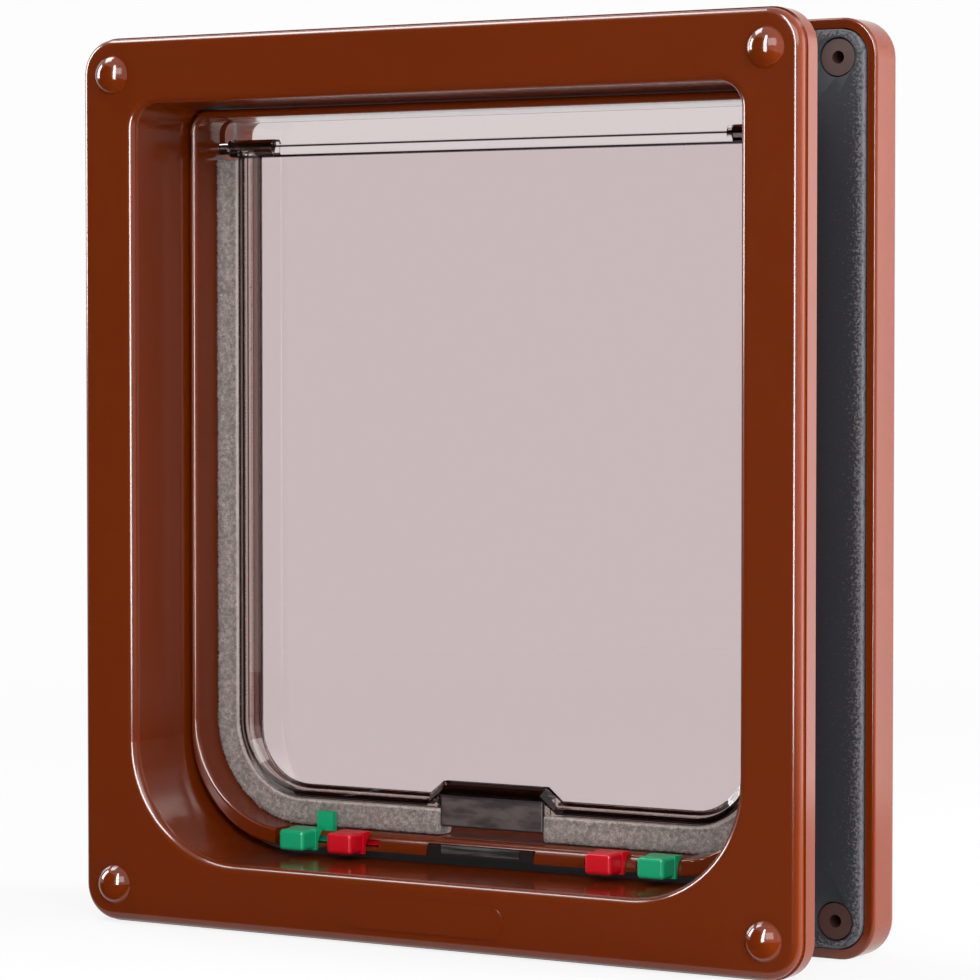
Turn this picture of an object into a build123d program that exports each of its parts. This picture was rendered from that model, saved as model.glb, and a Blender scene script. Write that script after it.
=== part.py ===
from build123d import *
import os

# Cat flap with two telescoping frames, in millimetres.
# X runs to the right seen from indoors, +Y towards the outdoor side, Z up from the bottom edge of the frames.
# A depth is measured from the indoor face of the indoor frame towards the outdoor side.

# Plates of the two frames
PLATE_WIDTH = 198.0
PLATE_HEIGHT = 217.5
PLATE_CORNER = 9.0
ASSEMBLED_DEPTH = 50.0
FACE_WALL = 2.6
SKIRT_WALL = 2.4
RIB_WALL = 1.5
RIB_PITCH = 27.0
RIB_ROWS = 5

# Edges of the indoor frame
INNER_RIM = 7.5
BAND_DEPTH = 3.0
BAND_STEP = 0.4
EDGE_ROUND = 1.8
OPENING_ROUND = 2.2
INNER_RIB_RECESS = 1.2
PAD_LENGTH = 44.0
PAD_HEIGHT = 8.0
PAD_RISE = 0.35
PAD_LEVEL = 8.0

# Tunnel of the indoor frame
SIDE_BORDER = 15.7
TOP_BORDER = 16.3
TUNNEL_SILL = 16.3
TUNNEL_TOP_CORNER = 6.0
TUNNEL_BOTTOM_CORNER = 28.5
TUNNEL_WALL = 2.0
TUNNEL_LENGTH = 30.0
TUNNEL_LEAD_IN = 0.8

# Sleeve of the outdoor frame, nested in the tunnel
SLEEVE_GAP = 0.6
SLEEVE_LIFT = 2.2
SLEEVE_WALL = 2.1
SLEEVE_FRONT = 22.5
SLEEVE_RIM_ROUND = 1.0
GUIDE_NOTCH_HEIGHT = 5.8
GUIDE_NOTCH_LENGTH = 3.5
GUIDE_NOTCH_DEPTH = 1.0
THRESHOLD_THICK = 4.3
THRESHOLD_ROUND = 4.0

# Edges of the outdoor frame
OUTER_RIM = 11.8
OUTER_EDGE_ROUND = 2.6
RIM_EDGE_ROUND = 0.8

# Foam gasket on the door side of the outdoor frame
GASKET_THICK = 4.0
GASKET_PROUD = 1.9
GASKET_SIDE_GAP = 0.3

# Screw places, caps and bosses
SCREW_INSET = 9.2
CLEARANCE_HOLE = 4.4
BOSS_DIAMETER = 8.5
BOSS_BELOW_GASKET = 0.4
PILOT_HOLE = 3.0
PILOT_DEPTH = 9.5
BOSS_HOLE_GAP = 0.35
CAP_DIAMETER = 9.6
CAP_RISE = 3.0
CAP_STEM = 6.0
CAP_STEM_LENGTH = 1.8
CAP_STEM_GAP = 0.05

# Hinge
HINGE_DEPTH = 34.2
HINGE_DROP = 7.0
PIN_DIAMETER = 3.0
PIN_GRIP = 13.0
PIN_END_INSET = 0.3
PIN_RUNNING_GAP = 0.05
PIN_PRESS_GAP = 0.02
SNAP_SLOT = 2.4
KNUCKLE_DIAMETER = 4.6
KNUCKLE_LENGTH = 14.0
KNUCKLE_END_GAP = 3.1
PIN_CHAMFER = 0.4

# Flap panel
FLAP_TOP_GAP = 0.7
TOP_BAND_END_GAP = 4.2
TOP_BAND_THICK = 2.4
HINGE_RIB_ABOVE = 0.9
HINGE_RIB_BELOW = 2.5
HINGE_RIB_THICK = 4.0
HINGE_RIB_ROUND = 1.6
RIM_THICK = 6.0
RIM_SIDE = 5.4
RIM_BOTTOM = 3.4
RIM_ROUND = 0.5
PANE_THICK = 2.0
PANE_CORNER = 14.0
BUMP_RISE = 3.2
BUMP_SLOPE_RUN = 3.9
EDGE_RIB = 1.5
EDGE_RIB_THICK = 1.2

# Pile strips round the flap
PILE_WIDTH = 6.2
PILE_THICK = 5.8
PILE_SIDE_GAP = 0.4
PILE_BOTTOM_GAP = 0.5
PILE_TOP_DROP = 2.9

# Magnet holder at the foot of the flap
HOLDER_WIDTH = 29.0
HOLDER_HEIGHT = 7.6
HOLDER_THICK = 5.6
HOLDER_END_GAP = 0.3
HOLDER_ROUND = 0.5
TONGUE_WIDTH = 14.0
TONGUE_LENGTH = 4.0
TONGUE_GAP = 0.1
FLAP_MAGNET_LENGTH = 22.0
FLAP_MAGNET_HEIGHT = 2.6
FLAP_MAGNET_THICK = 3.4
MAGNET_GAP = 0.1

# Magnet in the threshold
TRAY_WIDTH = 29.8
TRAY_DEPTH = 6.8
TRAY_HEIGHT = 2.8
TRAY_GAP = 0.2
TRAY_FLOOR = 0.8
THRESHOLD_MAGNET_LENGTH = 22.0
THRESHOLD_MAGNET_DEPTH = 4.6

# Lock sliders and the bay that they run in
BAY_END_GAP = 2.8
GREEN_PLACE = 50.3
RED_PLACE = 36.3
LOCK_TRAVEL = 5.6
LOCK_GAP = 0.3
KNOB_WIDTH = 7.2
KNOB_HEIGHT = 5.0
KNOB_LENGTH = 5.4
KNOB_ABOVE_THRESHOLD = 0.3
KNOB_ROUND = 0.9
KNOB_FLANGE_SIDE = 0.3
KNOB_FLANGE_LENGTH = 0.9
SADDLE_TAIL = 2.2
NECK_WIDTH = 3.0
CARRIAGE_THICK = 1.4
CARRIAGE_END = 0.2
TRACK_ROOF = 1.5
TRACK_FRONT_WALL = 2.2
TRACK_PLATE_THICK = 0.9
TRACK_PLATE_LEDGE = 1.2
TRACK_PLATE_GAP = 0.1
TAB_OFFSET = 4.1
TAB_WIDTH = 4.6
TAB_RISE = 4.2
TAB_THICK = 1.8
TAB_PILE_GAP = 1.0
NOTCH_SIDE_GAP = 0.5

# Places worked out from the sizes above
FRONT_Y = (CAP_RISE - ASSEMBLED_DEPTH) / 2
TUNNEL_HALF = PLATE_WIDTH / 2 - SIDE_BORDER
TUNNEL_TOP = PLATE_HEIGHT - TOP_BORDER
SLEEVE_HALF = TUNNEL_HALF - SLEEVE_GAP
SLEEVE_BOTTOM = TUNNEL_SILL + SLEEVE_LIFT
SLEEVE_TOP = TUNNEL_TOP - SLEEVE_GAP
SLEEVE_BOTTOM_CORNER = TUNNEL_BOTTOM_CORNER - SLEEVE_GAP
SLEEVE_TOP_CORNER = TUNNEL_TOP_CORNER - SLEEVE_GAP
BORE_HALF = SLEEVE_HALF - SLEEVE_WALL
BORE_TOP = SLEEVE_TOP - SLEEVE_WALL
THRESHOLD_TOP = SLEEVE_BOTTOM + THRESHOLD_THICK
BORE_BOTTOM_CORNER = SLEEVE_BOTTOM_CORNER - SLEEVE_WALL
OUTER_FRONT = ASSEMBLED_DEPTH - OUTER_RIM
GASKET_FRONT = OUTER_FRONT - GASKET_PROUD
GASKET_SEAT = GASKET_FRONT + GASKET_THICK
BOSS_FRONT = GASKET_FRONT + BOSS_BELOW_GASKET
SCREW_X = PLATE_WIDTH / 2 - SCREW_INSET
SCREW_LOW = SCREW_INSET
SCREW_HIGH = PLATE_HEIGHT - SCREW_INSET
HINGE_Y = FRONT_Y + HINGE_DEPTH
HINGE_Z = BORE_TOP - HINGE_DROP
KNUCKLE_END = BORE_HALF - KNUCKLE_END_GAP
PIN_INNER = KNUCKLE_END - PIN_GRIP
PIN_OUTER = SLEEVE_HALF - PIN_END_INSET
BAND_HALF = BORE_HALF - TOP_BAND_END_GAP
BAND_TOP = BORE_TOP - FLAP_TOP_GAP
PILE_HALF = BORE_HALF - PILE_SIDE_GAP
PILE_BOTTOM = THRESHOLD_TOP + PILE_BOTTOM_GAP
PILE_TOP = HINGE_Z - PILE_TOP_DROP
PILE_CORNER = BORE_BOTTOM_CORNER - PILE_SIDE_GAP
RIM_HALF = PILE_HALF - PILE_WIDTH
RIM_LOW = PILE_BOTTOM + PILE_WIDTH
RIM_CORNER = PILE_CORNER - PILE_WIDTH
RIM_TOP = HINGE_Z + HINGE_RIB_ABOVE
PANE_HALF = RIM_HALF - RIM_SIDE
PANE_LOW = RIM_LOW + RIM_BOTTOM
PANE_TOP = HINGE_Z - HINGE_RIB_BELOW
HINGE_RIB_LEVEL = (PANE_TOP + RIM_TOP) / 2
PANE_BEVEL = (RIM_THICK - PANE_THICK) / 2
HOLDER_TOP = RIM_LOW + BUMP_RISE
HOLDER_LOW = HOLDER_TOP - HOLDER_HEIGHT
HOLDER_HALF = HOLDER_WIDTH / 2
HOLDER_PLACE_HALF = HOLDER_HALF + HOLDER_END_GAP
FRONT_TAB_DEPTH = HINGE_DEPTH - PILE_THICK / 2 - TAB_PILE_GAP - TAB_THICK / 2
REAR_TAB_DEPTH = HINGE_DEPTH + PILE_THICK / 2 + TAB_PILE_GAP + TAB_THICK / 2
CARRIAGE_FRONT = FRONT_TAB_DEPTH - TAB_THICK / 2
CARRIAGE_BACK = REAR_TAB_DEPTH + TAB_THICK / 2 + CARRIAGE_END
TRACK_DEPTH = CARRIAGE_FRONT - LOCK_GAP
TRACK_BACK = CARRIAGE_BACK + LOCK_GAP
BAY_DEPTH = TRACK_DEPTH - TRACK_FRONT_WALL
BAY_HALF = GREEN_PLACE + KNOB_WIDTH / 2 + KNOB_FLANGE_SIDE + BAY_END_GAP
TRACK_TOP = THRESHOLD_TOP - TRACK_ROOF
TRACK_FLOOR = SLEEVE_BOTTOM + TRACK_PLATE_THICK
CARRIAGE_LOW = (TRACK_TOP + TRACK_FLOOR - CARRIAGE_THICK) / 2
TRACK_INNER = RED_PLACE - TAB_OFFSET - TAB_WIDTH / 2 - LOCK_TRAVEL - LOCK_GAP
TRACK_OUTER = GREEN_PLACE + NECK_WIDTH / 2 + LOCK_GAP
TAB_TOP = THRESHOLD_TOP + TAB_RISE
KNOB_BACK = BAY_DEPTH - LOCK_GAP
KNOB_TOP = THRESHOLD_TOP + KNOB_ABOVE_THRESHOLD
KNOB_LOW = KNOB_TOP - KNOB_HEIGHT
SADDLE_FRONT = KNOB_BACK - KNOB_FLANGE_LENGTH
SADDLE_LOW = KNOB_LOW - KNOB_FLANGE_SIDE
TRAY_TOP = SLEEVE_BOTTOM + TRAY_HEIGHT

SCREW_POINTS = [
    (-SCREW_X, SCREW_LOW),
    (SCREW_X, SCREW_LOW),
    (-SCREW_X, SCREW_HIGH),
    (SCREW_X, SCREW_HIGH),
]
SCREW_CAPS = ["screw_cap_bottom_left", "screw_cap_bottom_right", "screw_cap_top_left", "screw_cap_top_right"]
SIDES = [("left", -1), ("right", 1)]

# Each slider: name, side, distance of its knob from the middle, depth of its tab
SLIDERS = [
    ("lock_slider_green_left", -1, GREEN_PLACE, FRONT_TAB_DEPTH),
    ("lock_slider_red_left", -1, RED_PLACE, REAR_TAB_DEPTH),
    ("lock_slider_red_right", 1, RED_PLACE, REAR_TAB_DEPTH),
    ("lock_slider_green_right", 1, GREEN_PLACE, REAR_TAB_DEPTH),
]


def depth_plane(depth):
    """Upright sketch plane facing indoors; a negative extrusion runs towards the outdoor side."""
    return Plane.XZ.offset(-(FRONT_Y + depth))


def plate_outline(inset):
    """Round-cornered outline of a plate, drawn in by an inset."""
    with BuildSketch() as outline:
        with Locations((0, PLATE_HEIGHT / 2)):
            RectangleRounded(PLATE_WIDTH - 2 * inset, PLATE_HEIGHT - 2 * inset, PLATE_CORNER - inset)
    return outline.sketch


def arch_outline(half_width, low, high, bottom_corner, top_corner):
    """Upright opening with wide corners at the bottom and tight corners at the top."""
    with BuildSketch() as outline:
        with Locations((0, (low + high) / 2)):
            Rectangle(2 * half_width, high - low)
        fillet(outline.vertices().group_by(Axis.Y)[0], bottom_corner)
        fillet(outline.vertices().group_by(Axis.Y)[-1], top_corner)
    return outline.sketch


def tunnel_outline(grow):
    """Passage of the indoor frame, grown outwards by a wall."""
    return arch_outline(
        TUNNEL_HALF + grow,
        TUNNEL_SILL - grow,
        TUNNEL_TOP + grow,
        TUNNEL_BOTTOM_CORNER + grow,
        TUNNEL_TOP_CORNER + grow,
    )


def sleeve_outline(grow):
    """Outside of the sleeve, grown outwards by a clearance."""
    return arch_outline(
        SLEEVE_HALF + grow,
        SLEEVE_BOTTOM - grow,
        SLEEVE_TOP + grow,
        SLEEVE_BOTTOM_CORNER + grow,
        SLEEVE_TOP_CORNER + grow,
    )


def sleeve_bore():
    """Inside of the sleeve, with the threshold as its floor."""
    return arch_outline(
        BORE_HALF, THRESHOLD_TOP, BORE_TOP, BORE_BOTTOM_CORNER, SLEEVE_TOP_CORNER - SLEEVE_WALL
    )


def flap_outline(half_width, low, high, corner):
    """Hanging panel with a straight top and round bottom corners."""
    with BuildSketch() as outline:
        with Locations((0, (low + high) / 2)):
            Rectangle(2 * half_width, high - low)
        fillet(outline.vertices().group_by(Axis.Y)[0], corner)
    return outline.sketch


def pane_outline():
    """Clear window of the flap, with its foot raised over the magnet holder."""
    with BuildSketch() as outline:
        add(flap_outline(PANE_HALF, PANE_LOW, RIM_TOP, PANE_CORNER))
        with BuildLine():
            Polyline(
                (-HOLDER_HALF - BUMP_SLOPE_RUN, PANE_LOW),
                (-HOLDER_HALF, PANE_LOW + BUMP_RISE),
                (HOLDER_HALF, PANE_LOW + BUMP_RISE),
                (HOLDER_HALF + BUMP_SLOPE_RUN, PANE_LOW),
                close=True,
            )
        make_face(mode=Mode.SUBTRACT)
    return outline.sketch


def edge_rib_outline():
    """Thin rib round the flap that carries the pile, open at the holder but for its tongue."""
    with BuildSketch() as outline:
        add(flap_outline(RIM_HALF + EDGE_RIB, RIM_LOW - EDGE_RIB, PILE_TOP, RIM_CORNER + EDGE_RIB))
        with Locations((0, HOLDER_TOP)):
            Rectangle(
                2 * HOLDER_PLACE_HALF,
                HOLDER_TOP - PILE_BOTTOM,
                align=(Align.CENTER, Align.MAX),
                mode=Mode.SUBTRACT,
            )
            Rectangle(TONGUE_WIDTH, TONGUE_LENGTH, align=(Align.CENTER, Align.MAX))
    return outline.sketch


def tab_notches():
    """Gaps in the foot of the pile that let the flap pass the lock tabs when they are unlocked."""
    with BuildSketch() as outline:
        for _, side, place, _ in SLIDERS:
            with Locations((side * (place - TAB_OFFSET), PILE_BOTTOM)):
                Rectangle(TAB_WIDTH + 2 * NOTCH_SIDE_GAP, PILE_WIDTH, align=(Align.CENTER, Align.MIN))
    return outline.sketch


def threshold_section(gap):
    """Side view of the threshold's front, grown by a gap: upright face, round edge and flat top."""
    low = min(SADDLE_LOW, SLEEVE_BOTTOM)
    with BuildSketch() as section:
        with Locations((FRONT_Y + BAY_DEPTH - gap, low)):
            Rectangle(2 * THRESHOLD_ROUND, THRESHOLD_TOP + gap - low, align=(Align.MIN, Align.MIN))
        fillet(section.vertices().group_by(Axis.X)[0].sort_by(Axis.Y)[-1], THRESHOLD_ROUND + gap)
    return section.sketch


def saddle_outline():
    """Side view of the saddle behind a knob, which hugs the round edge of the threshold."""
    with BuildSketch() as outline:
        with Locations((FRONT_Y + SADDLE_FRONT, SADDLE_LOW)):
            Rectangle(
                BAY_DEPTH + SADDLE_TAIL - SADDLE_FRONT, KNOB_TOP - SADDLE_LOW, align=(Align.MIN, Align.MIN)
            )
        add(threshold_section(LOCK_GAP), mode=Mode.SUBTRACT)
    return outline.sketch


def rib_grid():
    """Crossing ribs behind a plate, from skirt to skirt."""
    with BuildSketch() as outline:
        with Locations((0, PLATE_HEIGHT / 2)):
            with GridLocations(0, RIB_PITCH, 1, RIB_ROWS):
                Rectangle(PLATE_WIDTH - SKIRT_WALL, RIB_WALL)
            with GridLocations(RIB_PITCH, 0, RIB_ROWS, 1):
                Rectangle(RIB_WALL, PLATE_HEIGHT - SKIRT_WALL)
    return outline.sketch


def depth_box(x_range, depth_range, z_range, mode=Mode.ADD):
    """Block between two places along each axis, with depths along Y."""
    x_low, x_high = sorted(x_range)
    with Locations((x_low, FRONT_Y + depth_range[0], z_range[0])):
        Box(
            x_high - x_low,
            depth_range[1] - depth_range[0],
            z_range[1] - z_range[0],
            align=(Align.MIN, Align.MIN, Align.MIN),
            mode=mode,
        )


def write(builder, name):
    """Label a finished piece and write its STEP file."""
    builder.part.label = name
    export_step(builder.part, f"parts/{name}.step")


os.makedirs("parts", exist_ok=True)

# Indoor frame: plate with a stepped edge, hollow ribbed back, corner bosses and the tunnel
with BuildPart() as inner_frame:
    with BuildSketch(depth_plane(0)):
        add(plate_outline(BAND_STEP))
    extrude(amount=-BAND_DEPTH)
    fillet(inner_frame.faces().sort_by(Axis.Y)[0].edges(), EDGE_ROUND)
    with BuildSketch(depth_plane(BAND_DEPTH)):
        add(plate_outline(0))
    extrude(amount=BAND_DEPTH - INNER_RIM)
    with BuildSketch(depth_plane(FACE_WALL)):
        add(plate_outline(SKIRT_WALL))
    extrude(amount=FACE_WALL - INNER_RIM, mode=Mode.SUBTRACT)
    with BuildSketch(depth_plane(FACE_WALL)):
        add(rib_grid())
    extrude(amount=FACE_WALL - INNER_RIM + INNER_RIB_RECESS)
    with BuildSketch(depth_plane(FACE_WALL)):
        with Locations(*SCREW_POINTS):
            Circle(BOSS_DIAMETER / 2)
    extrude(amount=FACE_WALL - INNER_RIM)
    with BuildSketch(depth_plane(FACE_WALL)):
        add(tunnel_outline(TUNNEL_WALL))
    extrude(amount=FACE_WALL - TUNNEL_LENGTH)
    with BuildSketch(depth_plane(0)):
        add(tunnel_outline(0))
    extrude(amount=-TUNNEL_LENGTH, mode=Mode.SUBTRACT)
    indoor_face = inner_frame.faces().filter_by(Axis.Y).sort_by(Axis.Y)[0]
    fillet(indoor_face.inner_wires()[0].edges(), OPENING_ROUND)
    tunnel_end = inner_frame.faces().filter_by(Axis.Y).sort_by(Axis.Y)[-1]
    chamfer(tunnel_end.inner_wires()[0].edges(), TUNNEL_LEAD_IN)
    with BuildSketch(depth_plane(0)):
        with Locations((0, PAD_LEVEL)):
            SlotOverall(PAD_LENGTH, PAD_HEIGHT)
    extrude(amount=PAD_RISE)
    with Locations(depth_plane(0)):
        with Locations(*SCREW_POINTS):
            CounterBoreHole(CLEARANCE_HOLE / 2, CAP_STEM / 2 + CAP_STEM_GAP, CAP_STEM_LENGTH, INNER_RIM)
write(inner_frame, "inner_frame")

# Outdoor frame: plate, sleeve with the hinge bearings, threshold with the lock tracks and the magnet place
with BuildPart() as outer_frame:
    with BuildSketch(depth_plane(OUTER_FRONT)):
        add(plate_outline(0))
    extrude(amount=-OUTER_RIM)
    fillet(outer_frame.faces().sort_by(Axis.Y)[-1].edges(), OUTER_EDGE_ROUND)
    fillet(outer_frame.faces().sort_by(Axis.Y)[0].edges(), RIM_EDGE_ROUND)
    with BuildSketch(depth_plane(OUTER_FRONT)):
        add(plate_outline(SKIRT_WALL))
    extrude(amount=FACE_WALL - OUTER_RIM, mode=Mode.SUBTRACT)
    with BuildSketch(depth_plane(GASKET_SEAT)):
        add(rib_grid())
    extrude(amount=GASKET_SEAT + FACE_WALL - ASSEMBLED_DEPTH)
    with BuildSketch(depth_plane(BOSS_FRONT)):
        with Locations(*SCREW_POINTS):
            Circle(BOSS_DIAMETER / 2)
    extrude(amount=BOSS_FRONT + FACE_WALL - ASSEMBLED_DEPTH)
    with BuildSketch(depth_plane(SLEEVE_FRONT)):
        add(sleeve_outline(0))
    extrude(amount=SLEEVE_FRONT - ASSEMBLED_DEPTH)
    with BuildSketch(depth_plane(SLEEVE_FRONT)):
        add(sleeve_bore())
    extrude(amount=SLEEVE_FRONT - ASSEMBLED_DEPTH, mode=Mode.SUBTRACT)
    outdoor_face = outer_frame.faces().filter_by(Axis.Y).sort_by(Axis.Y)[-1]
    fillet(outdoor_face.inner_wires()[0].edges(), OPENING_ROUND)
    sleeve_rim = outer_frame.faces().filter_by(Axis.Y).sort_by(Axis.Y)[0]
    fillet(sleeve_rim.edges(), SLEEVE_RIM_ROUND)
    # Pilot holes for the fixing screws
    with Locations(depth_plane(BOSS_FRONT)):
        with Locations(*SCREW_POINTS):
            Hole(PILOT_HOLE / 2, PILOT_DEPTH)
    # Bearings for the hinge pins, with snap slots above them
    with BuildSketch(Plane.YZ):
        with Locations((HINGE_Y, HINGE_Z)):
            Circle(PIN_DIAMETER / 2 + PIN_RUNNING_GAP)
            Rectangle(SNAP_SLOT, HINGE_DROP, align=(Align.CENTER, Align.MIN))
    extrude(amount=SLEEVE_HALF, both=True, mode=Mode.SUBTRACT)
    # Guide notches in the outer half of the sleeve rim, level with the hinge
    for _, side in SIDES:
        depth_box(
            (side * SLEEVE_HALF, side * (SLEEVE_HALF - GUIDE_NOTCH_DEPTH)),
            (SLEEVE_FRONT, SLEEVE_FRONT + GUIDE_NOTCH_LENGTH),
            (HINGE_Z - GUIDE_NOTCH_HEIGHT / 2, HINGE_Z + GUIDE_NOTCH_HEIGHT / 2),
            Mode.SUBTRACT,
        )
    # Bay for the knobs, cut back from the sleeve rim to the round edge of the threshold
    with BuildSketch(Plane.YZ):
        with Locations((FRONT_Y + SLEEVE_FRONT, SLEEVE_BOTTOM)):
            Rectangle(
                BAY_DEPTH + THRESHOLD_ROUND - SLEEVE_FRONT,
                THRESHOLD_THICK + SLEEVE_WALL,
                align=(Align.MIN, Align.MIN),
            )
        add(threshold_section(0), mode=Mode.SUBTRACT)
    extrude(amount=BAY_HALF, both=True, mode=Mode.SUBTRACT)
    # Lock tracks, open below, with a rebate for the track plates
    for _, side in SIDES:
        depth_box(
            (side * TRACK_INNER, side * TRACK_OUTER),
            (TRACK_DEPTH, TRACK_BACK),
            (SLEEVE_BOTTOM, TRACK_TOP),
            Mode.SUBTRACT,
        )
        depth_box(
            (side * (TRACK_INNER - TRACK_PLATE_LEDGE), side * (TRACK_OUTER + TRACK_PLATE_LEDGE)),
            (BAY_DEPTH, TRACK_BACK + TRACK_PLATE_LEDGE),
            (SLEEVE_BOTTOM, TRACK_FLOOR),
            Mode.SUBTRACT,
        )
    # Neck and tab slots of each slider, as long as its travel towards the middle
    for _, side, place, tab_depth in SLIDERS:
        depth_box(
            (
                side * (place - NECK_WIDTH / 2 - LOCK_TRAVEL - LOCK_GAP),
                side * (place + NECK_WIDTH / 2 + LOCK_GAP),
            ),
            (BAY_DEPTH, TRACK_DEPTH),
            (TRACK_FLOOR, TRACK_TOP),
            Mode.SUBTRACT,
        )
        tab_place = place - TAB_OFFSET
        depth_box(
            (
                side * (tab_place - TAB_WIDTH / 2 - LOCK_TRAVEL - LOCK_GAP),
                side * (tab_place + TAB_WIDTH / 2 + LOCK_GAP),
            ),
            (tab_depth - TAB_THICK / 2 - LOCK_GAP, tab_depth + TAB_THICK / 2 + LOCK_GAP),
            (TRACK_TOP, THRESHOLD_TOP),
            Mode.SUBTRACT,
        )
    # Place of the magnet tray, open to the front and below
    depth_box(
        (-TRAY_WIDTH / 2 - TRAY_GAP, TRAY_WIDTH / 2 + TRAY_GAP),
        (BAY_DEPTH, BAY_DEPTH + TRAY_GAP + TRAY_DEPTH + TRAY_GAP),
        (SLEEVE_BOTTOM, TRAY_TOP + TRAY_GAP),
        Mode.SUBTRACT,
    )
write(outer_frame, "outer_frame")

# Foam gasket: flat ring round the sleeve with holes for the bosses
with BuildPart() as outer_gasket:
    with BuildSketch(depth_plane(GASKET_FRONT)):
        add(plate_outline(SKIRT_WALL + GASKET_SIDE_GAP))
        add(sleeve_outline(GASKET_SIDE_GAP), mode=Mode.SUBTRACT)
        with Locations(*SCREW_POINTS):
            Circle(BOSS_DIAMETER / 2 + BOSS_HOLE_GAP, mode=Mode.SUBTRACT)
    extrude(amount=-GASKET_THICK)
write(outer_gasket, "outer_gasket")

# Screw caps: low dome with a short stem in the counterbore
for cap_name, (cap_x, cap_z) in zip(SCREW_CAPS, SCREW_POINTS):
    with BuildPart() as screw_cap:
        with BuildSketch(Plane.XY.move(Location((cap_x, FRONT_Y, cap_z)))):
            with BuildLine():
                Polyline(
                    (0, -CAP_RISE),
                    (0, CAP_STEM_LENGTH),
                    (CAP_STEM / 2, CAP_STEM_LENGTH),
                    (CAP_STEM / 2, 0),
                    (CAP_DIAMETER / 2, 0),
                )
                TangentArc((0, -CAP_RISE), (CAP_DIAMETER / 2, 0), tangent=(1, 0))
            make_face()
        revolve(axis=Axis((cap_x, FRONT_Y, cap_z), (0, 1, 0)))
    write(screw_cap, cap_name)

# Flap panel: ring-shaped rim, clear pane, top band, hinge knuckles and the rib that carries the pile
flap_plane = depth_plane(HINGE_DEPTH)
with BuildPart() as flap_panel:
    with BuildSketch(flap_plane):
        add(flap_outline(RIM_HALF, RIM_LOW, HINGE_RIB_LEVEL, RIM_CORNER))
        with Locations((0, RIM_LOW)):
            Rectangle(2 * HOLDER_PLACE_HALF, BUMP_RISE, align=(Align.CENTER, Align.MIN), mode=Mode.SUBTRACT)
    extrude(amount=RIM_THICK / 2, both=True)
    fillet(flap_panel.faces().filter_by(Axis.Y).edges(), RIM_ROUND)
    # Sloping sides of the pane's sunk faces
    for turn in (1, -1):
        with BuildSketch(flap_plane.offset(turn * PANE_THICK / 2)):
            add(pane_outline())
        extrude(amount=turn * PANE_BEVEL, taper=-45, mode=Mode.SUBTRACT)
    # Round rib across the flap, just below the hinge line
    with BuildSketch(Plane.YZ.offset(-RIM_HALF)):
        with Locations((HINGE_Y, HINGE_RIB_LEVEL)):
            RectangleRounded(HINGE_RIB_THICK, RIM_TOP - PANE_TOP, HINGE_RIB_ROUND)
    extrude(amount=2 * RIM_HALF)
    with BuildSketch(flap_plane):
        add(edge_rib_outline())
    extrude(amount=EDGE_RIB_THICK / 2, both=True)
    with BuildSketch(flap_plane):
        with Locations((0, HINGE_Z)):
            Rectangle(2 * BAND_HALF, BAND_TOP - HINGE_Z, align=(Align.CENTER, Align.MIN))
    extrude(amount=TOP_BAND_THICK / 2, both=True)
    for _, side in SIDES:
        with BuildSketch(Plane.YZ.offset(side * KNUCKLE_END)):
            with Locations((HINGE_Y, HINGE_Z)):
                Circle(KNUCKLE_DIAMETER / 2)
        extrude(amount=-side * KNUCKLE_LENGTH)
        with BuildSketch(Plane.YZ.offset(side * KNUCKLE_END)):
            with Locations((HINGE_Y, HINGE_Z)):
                Circle(PIN_DIAMETER / 2 + PIN_PRESS_GAP)
        extrude(amount=-side * PIN_GRIP, mode=Mode.SUBTRACT)
write(flap_panel, "flap_panel")

# Hinge pins, pressed into the knuckles and turning in the sleeve walls
for label, side in SIDES:
    with BuildPart() as hinge_pin:
        with BuildSketch(Plane.YZ.offset(side * PIN_INNER)):
            with Locations((HINGE_Y, HINGE_Z)):
                Circle(PIN_DIAMETER / 2)
        extrude(amount=side * (PIN_OUTER - PIN_INNER))
        chamfer(hinge_pin.edges().filter_by(GeomType.CIRCLE), PIN_CHAMFER)
    write(hinge_pin, f"hinge_pin_{label}")

# Pile strips, astride the rib along one side and half of the foot each, parted at the lock tabs
for label, side in SIDES:
    with BuildPart() as pile_strip:
        with BuildSketch(flap_plane):
            add(flap_outline(PILE_HALF, PILE_BOTTOM, PILE_TOP, PILE_CORNER))
            add(flap_outline(RIM_HALF, RIM_LOW, RIM_TOP, RIM_CORNER), mode=Mode.SUBTRACT)
            with Locations((side * (PILE_HALF + HOLDER_PLACE_HALF) / 2, PILE_BOTTOM)):
                Rectangle(
                    PILE_HALF - HOLDER_PLACE_HALF,
                    PILE_TOP - PILE_BOTTOM,
                    align=(Align.CENTER, Align.MIN),
                    mode=Mode.INTERSECT,
                )
            add(tab_notches(), mode=Mode.SUBTRACT)
        extrude(amount=PILE_THICK / 2, both=True)
        with BuildSketch(flap_plane):
            add(edge_rib_outline())
        extrude(amount=EDGE_RIB_THICK / 2, both=True, mode=Mode.SUBTRACT)
    write(pile_strip, f"pile_strip_{label}")

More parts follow.
